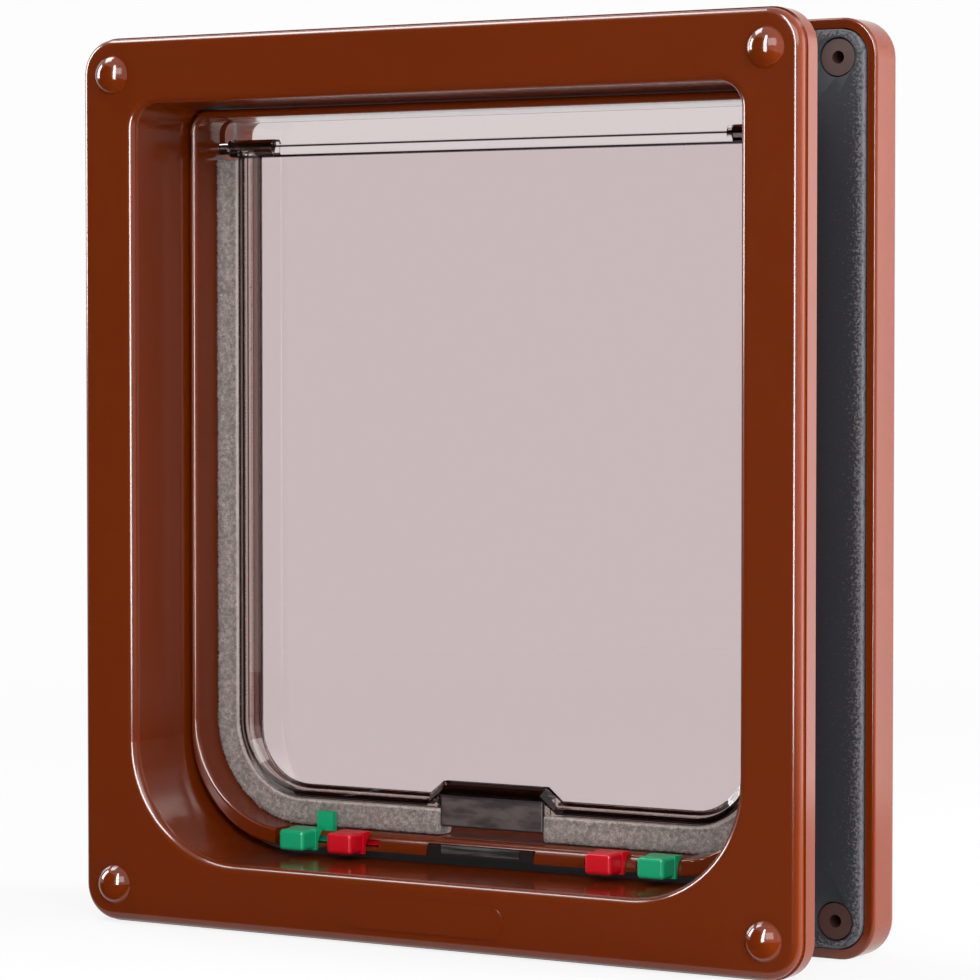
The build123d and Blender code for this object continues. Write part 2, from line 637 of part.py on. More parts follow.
# Magnet holder, on the tongue of the flap, with a pocket for the magnet in its foot
holder_depths = (HINGE_DEPTH - HOLDER_THICK / 2, HINGE_DEPTH + HOLDER_THICK / 2)
magnet_depths = (HINGE_DEPTH - FLAP_MAGNET_THICK / 2, HINGE_DEPTH + FLAP_MAGNET_THICK / 2)
with BuildPart() as magnet_holder:
    depth_box((-HOLDER_HALF, HOLDER_HALF), holder_depths, (HOLDER_LOW, HOLDER_TOP))
    fillet(magnet_holder.edges().filter_by(Axis.Z), HOLDER_ROUND)
    fillet(magnet_holder.faces().sort_by(Axis.Z)[0].edges(), HOLDER_ROUND)
    depth_box(
        (-TONGUE_WIDTH / 2 - TONGUE_GAP, TONGUE_WIDTH / 2 + TONGUE_GAP),
        (HINGE_DEPTH - EDGE_RIB_THICK / 2 - TONGUE_GAP, HINGE_DEPTH + EDGE_RIB_THICK / 2 + TONGUE_GAP),
        (HOLDER_TOP - TONGUE_LENGTH - TONGUE_GAP, HOLDER_TOP),
        Mode.SUBTRACT,
    )
    depth_box(
        (-FLAP_MAGNET_LENGTH / 2 - MAGNET_GAP, FLAP_MAGNET_LENGTH / 2 + MAGNET_GAP),
        (magnet_depths[0] - MAGNET_GAP, magnet_depths[1] + MAGNET_GAP),
        (HOLDER_LOW, HOLDER_LOW + FLAP_MAGNET_HEIGHT + MAGNET_GAP),
        Mode.SUBTRACT,
    )
write(magnet_holder, "magnet_holder")

with BuildPart() as flap_magnet:
    depth_box(
        (-FLAP_MAGNET_LENGTH / 2, FLAP_MAGNET_LENGTH / 2),
        magnet_depths,
        (HOLDER_LOW, HOLDER_LOW + FLAP_MAGNET_HEIGHT),
    )
write(flap_magnet, "flap_magnet")

# Magnet tray in the threshold, open above and in front, and the bar magnet in it
tray_front = BAY_DEPTH + TRAY_GAP
tray_magnet_floor = SLEEVE_BOTTOM + TRAY_FLOOR
with BuildPart() as magnet_tray:
    depth_box(
        (-TRAY_WIDTH / 2, TRAY_WIDTH / 2),
        (tray_front, tray_front + TRAY_DEPTH),
        (SLEEVE_BOTTOM, TRAY_TOP),
    )
    depth_box(
        (-THRESHOLD_MAGNET_LENGTH / 2 - MAGNET_GAP, THRESHOLD_MAGNET_LENGTH / 2 + MAGNET_GAP),
        (tray_front, tray_front + THRESHOLD_MAGNET_DEPTH + MAGNET_GAP),
        (tray_magnet_floor, TRAY_TOP),
        Mode.SUBTRACT,
    )
write(magnet_tray, "magnet_tray")

with BuildPart() as threshold_magnet:
    depth_box(
        (-THRESHOLD_MAGNET_LENGTH / 2, THRESHOLD_MAGNET_LENGTH / 2),
        (tray_front, tray_front + THRESHOLD_MAGNET_DEPTH),
        (tray_magnet_floor, TRAY_TOP),
    )
write(threshold_magnet, "threshold_magnet")

# Track plates that close the lock tracks from below and carry the sliders
for label, side in SIDES:
    with BuildPart() as track_plate:
        depth_box(
            (
                side * (TRACK_INNER - TRACK_PLATE_LEDGE + TRACK_PLATE_GAP),
                side * (TRACK_OUTER + TRACK_PLATE_LEDGE - TRACK_PLATE_GAP),
            ),
            (BAY_DEPTH, TRACK_BACK + TRACK_PLATE_LEDGE - TRACK_PLATE_GAP),
            (SLEEVE_BOTTOM, TRACK_FLOOR),
        )
    write(track_plate, f"track_plate_{label}")

# Lock sliders: rounded knob on a saddle, neck, carriage in the track and an upright tab
for name, side, place, tab_depth in SLIDERS:
    tab_place = place - TAB_OFFSET
    carriage_levels = (CARRIAGE_LOW, CARRIAGE_LOW + CARRIAGE_THICK)
    with BuildPart() as lock_slider:
        depth_box(
            (side * (place - KNOB_WIDTH / 2), side * (place + KNOB_WIDTH / 2)),
            (SADDLE_FRONT - KNOB_LENGTH, SADDLE_FRONT),
            (KNOB_LOW, KNOB_TOP),
        )
        fillet(lock_slider.edges().filter_by(Axis.Y), KNOB_ROUND)
        fillet(lock_slider.faces().sort_by(Axis.Y)[0].edges(), KNOB_ROUND)
        with BuildSketch(Plane.YZ.offset(side * place)):
            add(saddle_outline())
        extrude(amount=KNOB_WIDTH / 2 + KNOB_FLANGE_SIDE, both=True)
        depth_box(
            (side * (place - NECK_WIDTH / 2), side * (place + NECK_WIDTH / 2)),
            (KNOB_BACK, CARRIAGE_FRONT),
            carriage_levels,
        )
        depth_box(
            (side * (tab_place - TAB_WIDTH / 2), side * (place + NECK_WIDTH / 2)),
            (CARRIAGE_FRONT, CARRIAGE_BACK),
            carriage_levels,
        )
        depth_box(
            (side * (tab_place - TAB_WIDTH / 2), side * (tab_place + TAB_WIDTH / 2)),
            (tab_depth - TAB_THICK / 2, tab_depth + TAB_THICK / 2),
            (CARRIAGE_LOW, TAB_TOP),
        )
    write(lock_slider, name)
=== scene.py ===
"""Dresses a cat flap: brown moulded frames, a smoked flap, brush pile, a foam ring, coloured locks and a stage."""

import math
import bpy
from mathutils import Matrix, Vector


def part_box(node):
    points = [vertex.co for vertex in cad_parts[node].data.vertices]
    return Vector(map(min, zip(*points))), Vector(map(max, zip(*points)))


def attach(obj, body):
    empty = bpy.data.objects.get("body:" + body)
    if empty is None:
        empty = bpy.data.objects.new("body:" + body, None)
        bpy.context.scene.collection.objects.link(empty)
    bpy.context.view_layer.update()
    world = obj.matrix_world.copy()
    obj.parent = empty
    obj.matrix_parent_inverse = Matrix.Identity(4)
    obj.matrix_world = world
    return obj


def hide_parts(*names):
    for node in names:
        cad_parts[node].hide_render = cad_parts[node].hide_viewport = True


bl_info = {
    "name": "Cat Flap Dressing",
    "version": (1, 0, 0),
    "blender": (4, 5, 0),
    "location": "View3D > Sidebar > Cat Flap",
    "description": "Finishes the frames, flap, pile, foam ring and locks of a cat flap, and sets its stage",
    "category": "Object",
}

import bpy
import numpy as np
from bpy.props import FloatProperty, FloatVectorProperty, IntProperty, PointerProperty
from bpy.types import Operator, Panel, PropertyGroup
from mathutils import Euler

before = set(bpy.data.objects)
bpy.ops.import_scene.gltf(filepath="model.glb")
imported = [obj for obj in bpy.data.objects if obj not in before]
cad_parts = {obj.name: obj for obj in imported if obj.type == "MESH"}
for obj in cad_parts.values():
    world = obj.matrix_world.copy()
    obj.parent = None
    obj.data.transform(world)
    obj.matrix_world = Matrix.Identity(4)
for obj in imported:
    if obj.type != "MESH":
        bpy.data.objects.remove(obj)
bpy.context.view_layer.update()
MM = 0.001
SIDES = {"left": -1, "right": 1}
COLOURS = ("green", "red")
CORNERS = ("bottom_left", "bottom_right", "top_left", "top_right")
FRAME_NODES = ("inner_frame", "track_plate_left", "track_plate_right")
CAP_NODES = tuple(f"screw_cap_{corner}" for corner in CORNERS)
PIN_NODES = tuple(f"hinge_pin_{label}" for label in SIDES)
MAGNET_NODES = ("flap_magnet", "threshold_magnet")

# Moulded plastic: its usual gloss, and how far polish and the matt ends of the screw bosses change its roughness.
GLOSS = 0.16
SPECULAR = 0.5
POLISH_SPREAD = 0.08
BOSS_MATT_ROUGHNESS = 0.5

# Clear flap: how far above the rim's foot the painted shade line fades, and how soft the tints' edges are.
FOOT_FADE = (1.0 * MM, 9.0 * MM)
LINE_SOFT = 0.12 * MM
BAND_SOFT = 0.2 * MM
PANE_SOFT = (-0.3 * MM, 0.1 * MM)

# Pile: the grid and the squareness of its core, and where its pale inner edge starts across the section.
PILE_ROWS, PILE_COLUMNS = 220, 40
PILE_SQUARENESS = 7.0
BINDING_START, BINDING_FADE = 0.76, 0.1
# Tones of the core, darkened as painted shade in the depth of the pile, and how much its binding lightens it.
CORE_SHADE_TONE, CORE_BINDING_TONE = 0.25, 1.4

# Fibres: where their roots are, with angles as shares of pi, how they lean and bend, and the tones from root to tip.
FRONT_SHARE = 0.6
ROOT_MARGIN = 0.3 * MM
ROOT_ANGLES = (0.14, 0.86)
ROOT_DEPTH = 0.95
FIBRE_LEAN = 0.3
SHORTEST_FIBRE = 0.55
FIBRE_BEND = 0.175
RING_PLACE, RING_BEND, RING_SHARE = 0.55, 0.3, 0.75
TONE_MIDDLE, TONE_SPREAD, TONE_LIMIT, FIBRE_BINDING_TONE = 0.5, 0.26, 1.6, 1.1
# Tones from root to tip: the darker roots are painted shade in the depth of the pile.
FIBRE_SHADE_TONES = np.array((0.4,) * 3 + (0.9,) * 3 + (1.0,))

# Foam ring: the samples of its outlines, its section, and the pegs that bore the holes for the screw bosses.
OUTLINE_SAMPLES = (60, 28)
FOAM_COLUMNS = 48
FOAM_SQUARENESS = 9.0
CUT_EDGE = 7.0 / 8.0
PEG_SIDES = 32
PEG_OVERSHOOT = 2 * MM

# Stage: lamps by place, target and size, and dark cards by size, place, turn, cloth and what sees them.
WHITE = (0.98, 0.98, 0.98, 1.0)
MATT_WHITE = (0.8, 0.8, 0.8, 1.0)
CLOTH_BLACK = (0.01, 0.01, 0.01, 1.0)
SENSOR_WIDTH = 36.0
FLOOR_SIZE = (60.0, 60.0)
FLOOR_GLOW = 0.84
GLOW_FADE = (0.25, 0.9)
ORIGIN = (0.0, 0.0, 0.0)
LEVEL = (0.0, 0.0, 0.0)
UPRIGHT = (math.pi / 2, 0.0, 0.0)
FACING_FLAP = (math.pi / 2, 0.0, math.atan2(-0.6, 1.0))
MIDDLE = (0.0, 0.0, 0.11)
LAMPS = {
    "front_lamp": ((1.0, -1.2, 0.9), MIDDLE, (1.2, 1.0)),
    "side_lamp": ((1.3, 0.25, 0.35), MIDDLE, (0.8, 0.9)),
    "edge_lamp": ((0.359, 0.214, 0.17), (0.189, -0.056, 0.17), (0.3, 0.34)),
    "top_lamp": ((-0.55, -0.05, 1.05), MIDDLE, (0.5, 0.4)),
    "spark_lamp": ((0.12, -0.5, 0.46), (0.0, 0.0, 0.46), (0.12, 0.9)),
    "left_lamp": ((-0.75, -0.19, 0.405), (0.0, 0.0, 0.405), (0.2, 0.51)),
}
MATT_ONLY = ("side_lamp",)
MIRROR_ONLY = ("edge_lamp", "spark_lamp", "left_lamp")
# Cloths of the cards, by the share of a card's half width over which they fade out at its edges.
CLOTHS = {"dark_cloth": 0.001, "soft_cloth": 0.7}
CARDS = {
    "front_card": ((1.5, 1.4), (-0.6, -1.0, 0.6), FACING_FLAP, "dark_cloth", {"mirrored": True, "behind": False}),
    "floor_card": ((1.8, 1.6), (-0.4, -0.825, 0.002), LEVEL, "dark_cloth", {"mirrored": True, "behind": False}),
    "back_card": ((0.24, 0.046), (-0.05, 0.06, 0.025), UPRIGHT, "soft_cloth", {"mirrored": True, "behind": True}),
    "tunnel_card": ((0.14, 0.36), (0.05, 0.2, 0.12), UPRIGHT, "soft_cloth", {"mirrored": False, "behind": True}),
}


def colour_property(name, description, default):
    """Colour setting in linear values."""
    return FloatVectorProperty(
        name=name, description=description, default=default, subtype="COLOR", size=3, min=0.0, max=1.0
    )


def length_property(name, description, default):
    """Length setting in metres."""
    return FloatProperty(
        name=name, description=description, default=default, subtype="DISTANCE", unit="LENGTH", precision=5
    )


def radiance_property(name, description, default):
    """Brightness of a lamp's face, where white paper in plain light is one."""
    return FloatProperty(name=name, description=description, default=default, min=0.0)


class CatFlapFinish(PropertyGroup):
    """Colours of the finishes."""

    brown: colour_property("Brown", "Moulded frames and screw caps", (0.145, 0.0195, 0.0012))
    # Painted shade: the ends of the screw bosses, in the gap between the plates, are darkened in colour.
    boss_shade: colour_property("Boss shade", "Dull ends of the screw bosses", (0.052, 0.018, 0.013))
    smoke: colour_property("Smoke", "What the flap's thin pane lets through", (0.61, 0.51, 0.52))
    # The lighter band begins at the rib's foot, so it also paints the hinge rib's highlight.
    band: colour_property("Top band", "What the band above the hinge lets through", (0.72, 0.645, 0.645))
    rim: colour_property("Rim", "What the flap's thick rim lets through", (0.36, 0.27, 0.255))
    # Painted shade: dark lines at the rim and hinge rib, in place of dark surroundings the clear plastic refracts.
    painted_line_shade: colour_property("Rim line", "What the dark line in the rim lets through", (0.0016, 0.0006, 0.0006))
    pile_dark: colour_property("Pile shade", "Fibres in the depth of the pile", (0.10, 0.08, 0.075))
    pile_light: colour_property("Pile tip", "Fibres at the face of the pile", (0.56, 0.47, 0.44))
    foam: colour_property("Foam", "Skin of the foam ring", (0.0205, 0.0245, 0.0315))
    # Painted light: the cut edge's pale specks, where the lamp on the right catches it.
    foam_edge_light: colour_property("Foam edge", "Cut edge of the foam ring", (0.2, 0.19, 0.2))
    # Black is the tray's own colour, and the painted shade outline round the magnet holder's edges.
    black: colour_property("Black", "Magnet tray and outline of the magnet holder", (0.012, 0.007, 0.0065))
    shade: colour_property("Holder", "Shade of the magnet holder", (0.025, 0.016, 0.015))
    bloom: colour_property("Bloom", "Pale clouds on the magnet holder", (0.1, 0.071, 0.068))
    green: colour_property("Green", "Green locks", (0.006, 0.43, 0.19))
    red: colour_property("Red", "Red locks", (0.66, 0.0012, 0.012))
    steel: colour_property("Steel", "Hinge pins", (0.30, 0.28, 0.27))
    # The magnet's pale streaks are painted highlights; its dark colour is a tenth of this.
    magnet: colour_property("Magnet", "Bar magnets", (0.11, 0.1, 0.1))


class CatFlapPanel(PropertyGroup):
    """Outlines of the clear flap, which its tint and its painted shade lines follow."""

    rim_half: length_property("Rim half width", "Half the width of the rim's outline", 74.0 * MM)
    rim_low: length_property("Rim foot", "Level of the foot of the rim", 29.5 * MM)
    rim_corner: length_property("Rim corner", "Radius of the rim's lower corners", 19.2 * MM)
    pane_half: length_property("Pane half width", "Half the width of the thin pane", 68.6 * MM)
    pane_low: length_property("Pane foot", "Level of the foot of the thin pane", 32.9 * MM)
    pane_corner: length_property("Pane corner", "Radius of the pane's lower corners", 14.0 * MM)
    rib_low: length_property("Rib foot", "Level of the lower dark line of the hinge rib", 189.3 * MM)
    rib_high: length_property("Rib head", "Level of the upper dark line of the hinge rib", 191.7 * MM)
    rib_line: length_property("Rib line", "Width of those two lines", 0.55 * MM)
    bump_half: length_property("Bump half width", "Half the width of the rim's bump over the magnet holder", 18.4 * MM)
    bump_slope: length_property("Bump slope", "Width of each slope of the bump", 3.9 * MM)
    bump_rise: length_property("Bump rise", "Height of the bump", 3.2 * MM)
    bump_grow: length_property("Bump line", "How much further in the dark line reaches over the bump", 0.7 * MM)
    side_near: length_property("Side line start", "Distance of the dark line from the rim's sides", 1.5 * MM)
    side_far: length_property("Side line end", "Distance where that line ends", 2.2 * MM)
    foot_near: length_property("Foot line start", "Distance of the dark line from the rim's foot", 0.4 * MM)
    foot_far: length_property("Foot line end", "Distance where that line ends", 1.9 * MM)


class CatFlapPile(PropertyGroup):
    """Sizes of the brush pile round the flap."""

    width: length_property("Width", "Width of the strip, from the flap's rim outwards", 6.5 * MM)
    reach: length_property("Reach", "How far the fibres stand out past the solid strip", 0.3 * MM)
    corner: length_property("Corner", "Outer radius where the strip turns into the foot", 25.7 * MM)
    fibre_length: length_property("Fibre", "Longest free length of a fibre", 0.8 * MM)
    fibre_radius: length_property("Fibre radius", "Radius of a fibre at its root", 0.11 * MM)
    fibres: IntProperty(name="Fibres", description="Fibres on each strip", default=11000, min=0)
    seed: IntProperty(name="Seed", description="Start of the random draws", default=7)


class CatFlapFoam(PropertyGroup):
    """Sizes of the foam ring on the outdoor frame."""

    corner: length_property("Corner", "Radius of the ring's outer corners", 6.3 * MM)
    hole_half: length_property("Hole half width", "Half the width of the hole for the sleeve", 83.0 * MM)
    hole_low: length_property("Hole foot", "Level of the foot of that hole", 18.2 * MM)
    hole_high: length_property("Hole head", "Level of the head of that hole", 200.9 * MM)
    hole_low_corner: length_property("Hole foot corner", "Radius of its lower corners", 28.2 * MM)
    hole_high_corner: length_property("Hole head corner", "Radius of its upper corners", 5.7 * MM)
    boss_hole: length_property("Boss hole", "Radius of the holes round the screw bosses", 4.6 * MM)
    ragged: length_property("Ragged", "How far the cut edge wanders", 0.16 * MM)
    seed: IntProperty(name="Seed", description="Start of the random draws", default=11)


class CatFlapStage(PropertyGroup):
    """Camera and light."""

    place: FloatVectorProperty(
        name="Camera", description="Place of the camera", default=(0.4873, -0.7991, 0.1431), subtype="TRANSLATION",
        unit="LENGTH", precision=4,
    )
    turn: FloatVectorProperty(
        name="Turn", description="Turn of the camera",
        default=(math.radians(87.83), 0.0, math.radians(31.14)), subtype="EULER", unit="ROTATION",
    )
    lens: FloatProperty(name="Lens", description="Focal length in millimetres", default=143.8, unit="CAMERA")
    front_lamp: radiance_property("Front lamp", "Large lamp in front, on the right", 4.9)
    side_lamp: radiance_property("Side lamp", "Lamp on the right, which lights matt colour only", 17.0)
    edge_lamp: radiance_property("Edge lamp", "Lamp behind on the right, which right sides mirror", 1.6)
    top_lamp: radiance_property("Top lamp", "Lamp overhead on the left", 12.0)
    spark_lamp: radiance_property("Spark lamp", "Strip in front, which upright edges mirror", 30.0)
    left_lamp: radiance_property("Left lamp", "Strip on the left, which edges of the opening mirror", 22.0)
    ambient: FloatProperty(
        name="Ambient", description="Strength of the white surroundings as light", default=0.3, min=0.0, max=1.0,
        subtype="FACTOR",
    )


class Wire:
    """A socket in an expression: sums and products of wires and numbers add Math nodes to the graph."""

    def __init__(self, graph, socket):
        self.graph = graph
        self.socket = socket

    def math(self, operation, *values):
        node = self.graph.node("Math", {"operation": operation}, dict(enumerate(values)))
        return Wire(self.graph, node.outputs[0])

    def __add__(self, other):
        return self.math("ADD", self, other)

    def __radd__(self, other):
        return self.math("ADD", other, self)

    def __sub__(self, other):
        return self.math("SUBTRACT", self, other)

    def __rsub__(self, other):
        return self.math("SUBTRACT", other, self)

    def __mul__(self, other):
        return self.math("MULTIPLY", self, other)

    def __rmul__(self, other):
        return self.math("MULTIPLY", other, self)

    def __truediv__(self, other):
        return self.math("DIVIDE", self, other)

    def __rtruediv__(self, other):
        return self.math("DIVIDE", other, self)

    def __pow__(self, other):
        return self.math("POWER", self, other)

    def size(self):
        return self.math("ABSOLUTE", self)

    def larger(self, other):
        return self.math("MAXIMUM", self, other)

    def smaller(self, other):
        return self.math("MINIMUM", self, other)

    def smooth(self, low, high):
        """Zero below low, one above high and an even slope between."""
        ranged = self.graph.node(
            "MapRange",
            {"interpolation_type": "SMOOTHSTEP", "clamp": True},
            {"Value": self, "From Min": low, "From Max": high},
        )
        return Wire(self.graph, ranged.outputs["Result"])


SHADER_SOCKETS = {
    "color": "Base Color",
    "roughness": "Roughness",
    "metallic": "Metallic",
    "ior": "IOR",
    "normal": "Normal",
    "transmission": "Transmission Weight",
    "specular": "Specular IOR Level",
    "sheen": "Sheen Weight",
    "sheen_roughness": "Sheen Roughness",
}


class Graph:
    """Node tree of a material or of the surroundings."""

    def __init__(self, owner):
        owner.use_nodes = True
        self.owner = owner
        self.tree = owner.node_tree
        self.tree.nodes.clear()

    def node(self, kind, settings=None, sockets=None):
        """New node of a type, with its settings made first and then its sockets set or linked."""
        made = self.tree.nodes.new(f"ShaderNode{kind}")
        for key, value in (settings or {}).items():
            setattr(made, key, value)
        for key, value in (sockets or {}).items():
            if isinstance(value, Wire):
                self.tree.links.new(value.socket, made.inputs[key])
            else:
                made.inputs[key].default_value = value
        return made

    def wire(self, node, output):
        """Output of a node, for use in an expression."""
        return Wire(self, node.outputs[output])

    def place(self):
        """Object coordinates, in metres in the frame of the whole flap."""
        return self.wire(self.node("TexCoord"), "Object")

    def axis(self, letter):
        """One of the object coordinates."""
        return self.wire(self.node("SeparateXYZ", {}, {"Vector": self.place()}), letter)

    def inside(self, level, half, low, corner):
        """Distance in from an upright outline that is straight at its sides and foot and round at its lower corners.

        With a = |x| - (half - corner) and b = low + corner - level, the distance is
        corner - length(max(a, 0), max(b, 0)) - min(max(a, b), 0).
        """
        across = self.axis("X").size() - (half - corner)
        down = (low + corner) - level
        bend = (across.larger(0.0) ** 2.0 + down.larger(0.0) ** 2.0) ** 0.5
        return corner - bend - across.larger(down).smaller(0.0)

    def from_edge(self, low, high):
        """Distance in from the sides, foot and head of an upright oblong that is even about the middle plane."""
        level = self.axis("Z")
        return (high[0] - self.axis("X").size()).smaller(level - low[2]).smaller(high[2] - level)

    def seen(self):
        """One for what a camera, a mirror or a clear piece looks at, and zero for light on its way to a surface."""
        path = self.node("LightPath")
        camera, glossy, clear = (self.wire(path, f"Is {kind} Ray") for kind in ("Camera", "Glossy", "Transmission"))
        return camera.larger(glossy).larger(clear)

    def stretched(self, scale):
        """Object coordinates, stretched along each axis."""
        mapping = self.node("Mapping", {"vector_type": "POINT"}, {"Vector": self.place(), "Scale": scale})
        return self.wire(mapping, "Vector")

    def noise(self, scale, detail=2.0, rough=0.5, vector=None):
        """Soft noise from 0 to 1, with scale in bumps a metre."""
        sockets = {"Vector": vector or self.place(), "Scale": scale, "Detail": detail, "Roughness": rough}
        return self.wire(self.node("TexNoise", {"noise_dimensions": "3D"}, sockets), "Fac")

    def attribute(self, name):
        """A number stored on the piece's own points."""
        return self.wire(self.node("Attribute", {"attribute_name": name}), "Fac")

    def mix(self, factor, low, high):
        """Colour between two colours."""
        mixed = self.node("Mix", {"data_type": "RGBA"}, {0: factor, 6: low, 7: high})
        return self.wire(mixed, 2)

    def bump(self, height, strength, distance):
        """Normal tilted by a height field."""
        bumped = self.node("Bump", {}, {"Height": height, "Strength": strength, "Distance": distance})
        return self.wire(bumped, "Normal")

    def shade(self, **sockets):
        """Principled shader on the output, with its sockets named as in SHADER_SOCKETS."""
        named = {SHADER_SOCKETS[key]: value for key, value in sockets.items()}
        shader = self.node("BsdfPrincipled", {}, named)
        self.node("OutputMaterial", {}, {"Surface": self.wire(shader, "BSDF")})
        return self.owner


def new_graph(name):
    """Empty node tree of a new material."""
    return Graph(bpy.data.materials.new(name))


def opaque(colour):
    """Colour with full alpha."""
    return (*colour, 1.0)


def darker(colour, share):
    """Colour with each part multiplied by a share."""
    return tuple(share * part for part in colour)


def moulding(graph, colour, roughness, specular, matt_and_shade=None, boss_shade=None):
    """Shader of a glossy moulding: faint drift of colour, uneven polish and the slight ripple of a moulded face.

    As the mask goes from zero to one, the moulding turns matt and its colour darkens to painted shade.
    """
    drift = graph.noise(scale=14.0, detail=3.0)
    polish = graph.noise(scale=160.0, detail=4.0, rough=0.6)
    ripple = graph.noise(scale=420.0, detail=1.0)
    tint = graph.mix(drift, opaque(darker(colour, 0.92)), opaque(darker(colour, 1.06)))
    matt = roughness - POLISH_SPREAD / 2 + POLISH_SPREAD * polish
    if matt_and_shade is not None:
        # Painted shade: darker colour where the mask is set.
        tint = graph.mix(matt_and_shade, tint, opaque(boss_shade))
        matt = matt + BOSS_MATT_ROUGHNESS * matt_and_shade
    return graph.shade(
        color=tint,
        roughness=matt,
        specular=specular,
        normal=graph.bump(ripple, strength=0.02, distance=0.2 * MM),
    )


def moulded_plastic(name, colour, roughness=GLOSS, specular=SPECULAR):
    """Plain glossy moulding."""
    return moulding(new_graph(name), colour, roughness, specular)


def dulled_plastic(name, colour, boss_shade, foam_box, radius):
    """Glossy moulding whose screw bosses, in line with the caps, are matt with painted shade where foam rings them."""
    graph = new_graph(name)
    low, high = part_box(CAP_NODES[0])
    cap_x, cap_z = ((low[axis] + high[axis]) / 2 for axis in (0, 2))
    middle = (foam_box[0][2] + foam_box[1][2]) / 2
    back = foam_box[1][1]
    outwards = graph.axis("X").size() - abs(cap_x)
    upwards = (graph.axis("Z") - middle).size() - (middle - cap_z)
    away = (outwards ** 2.0 + upwards ** 2.0) ** 0.5
    # Mask of the painted shade and matt finish: the boss ends inside the foam ring.
    on_boss = 1.0 - away.smooth(radius, radius + 0.2 * MM)
    in_foam = 1.0 - graph.axis("Y").smooth(back, back + 1.0 * MM)
    return moulding(graph, colour, GLOSS, SPECULAR, on_boss * in_foam, boss_shade)


def smoked_clear(finish, sizes):
    """Smoked clear plastic, tinted by its thickness.

    The thin pane lets most through, the band above the hinge more and the thick rim less; the band's lighter tint
    also paints the hinge rib's highlight. A painted shade line, for the dark surroundings that the rim's bevels
    refract, follows the rim's outline, rises over the bump for the magnet holder and grows wider along the foot, and
    two painted shade lines edge the hinge rib.
    """
    graph = new_graph("smoked_clear")
    haze = graph.noise(scale=90.0, detail=3.0)
    height = graph.axis("Z")
    slope = (sizes.bump_half - graph.axis("X").size()) / sizes.bump_slope
    over = slope.larger(0.0).smaller(1.0)
    level = height - sizes.bump_rise * over
    depth = graph.inside(level, sizes.rim_half, sizes.rim_low, sizes.rim_corner)
    pane = graph.inside(level, sizes.pane_half, sizes.pane_low, sizes.pane_corner)
    foot = 1.0 - level.smooth(sizes.rim_low + FOOT_FADE[0], sizes.rim_low + FOOT_FADE[1])
    # Painted shade: a dark line at a set distance in from the rim's outline, wider along the foot and over the bump.
    near = sizes.side_near + (sizes.foot_near - sizes.side_near) * foot - sizes.foot_near * over
    far = sizes.side_far + (sizes.foot_far - sizes.side_far) * foot + sizes.bump_grow * over
    begin, end = ((depth - edge).smooth(-LINE_SOFT, LINE_SOFT) for edge in (near, far))
    # The band's lighter tint starts at the rib's foot and so also paints the rib's highlight.
    band = height.smooth(sizes.rib_low, sizes.rib_low + BAND_SOFT)
    near_rib = (height - sizes.rib_low).size().smaller((height - sizes.rib_high).size())
    rib = 1.0 - near_rib.smooth(sizes.rib_line / 2 - LINE_SOFT, sizes.rib_line / 2 + LINE_SOFT)
    rim = 1.0 - pane.smooth(*PANE_SOFT)
    tint = graph.mix(rim, opaque(finish.smoke), opaque(finish.rim))
    # Painted shade: the dark line in the rim.
    tint = graph.mix(begin * (1.0 - end), tint, opaque(finish.painted_line_shade))
    tint = graph.mix(band, tint, opaque(finish.band))
    # Painted shade: the two dark lines at the hinge rib.
    tint = graph.mix(rib, tint, opaque(finish.painted_line_shade))
    return graph.shade(color=tint, transmission=1.0, ior=1.49, roughness=0.004 + 0.012 * haze)


def clouded_plastic(name, outline, shade, bloom, box):
    """Dark plastic with soft pale level clouds inside a darker outline of painted shade round its edges."""
    graph = new_graph(name)
    clouds = graph.noise(scale=1.0, detail=3.0, rough=0.55, vector=graph.stretched((110.0, 200.0, 330.0)))
    scuffs = graph.noise(scale=900.0, detail=2.0)
    cloud_tone = graph.mix(clouds.smooth(0.36, 0.64), opaque(shade), opaque(bloom))
    return graph.shade(
        # Painted shade: the colour darkens to the outline within a millimetre of the holder's edges.
        color=graph.mix(graph.from_edge(*box).smooth(0.15 * MM, 0.8 * MM), opaque(outline), cloud_tone),
        roughness=0.36 + 0.16 * scuffs,
        normal=graph.bump(scuffs, strength=0.1, distance=0.1 * MM),
    )


def bar_magnet(colour):
    """Dark ceramic magnet with pale streaks along its length, painted highlights in place of what it reflects."""
    graph = new_graph("magnet_metal")
    streaks = graph.noise(scale=1.0, detail=3.0, rough=0.6, vector=graph.stretched((45.0, 1300.0, 1300.0)))
    return graph.shade(
        # Painted highlight: pale streaks in the colour.
        color=graph.mix(streaks.smooth(0.42, 0.64), opaque(darker(colour, 0.1)), opaque(colour)),
        metallic=0.3,
        roughness=0.3 + 0.2 * streaks,
        normal=graph.bump(streaks, strength=0.2, distance=0.05 * MM),
    )


def brush_pile(dark, light):
    """Fibres from a dark root, painted shade, to a pale tip, each with a tone of its own, over mottled felt."""
    graph = new_graph("brush_pile")
    tone = graph.attribute("tone")
    tufts = graph.noise(scale=950.0, detail=2.0, rough=0.6)
    felt = graph.noise(scale=2600.0, detail=2.0, rough=0.7)
    mottle = 0.55 * tone + 0.75 * tufts.smooth(0.3, 0.7) * felt.smooth(0.2, 0.8)
    return graph.shade(
        color=graph.mix(mottle, opaque(dark), opaque(light)),
        roughness=0.9,
        sheen=0.25,
        sheen_roughness=0.5,
        normal=graph.bump(felt, strength=0.6, distance=0.3 * MM),
    )


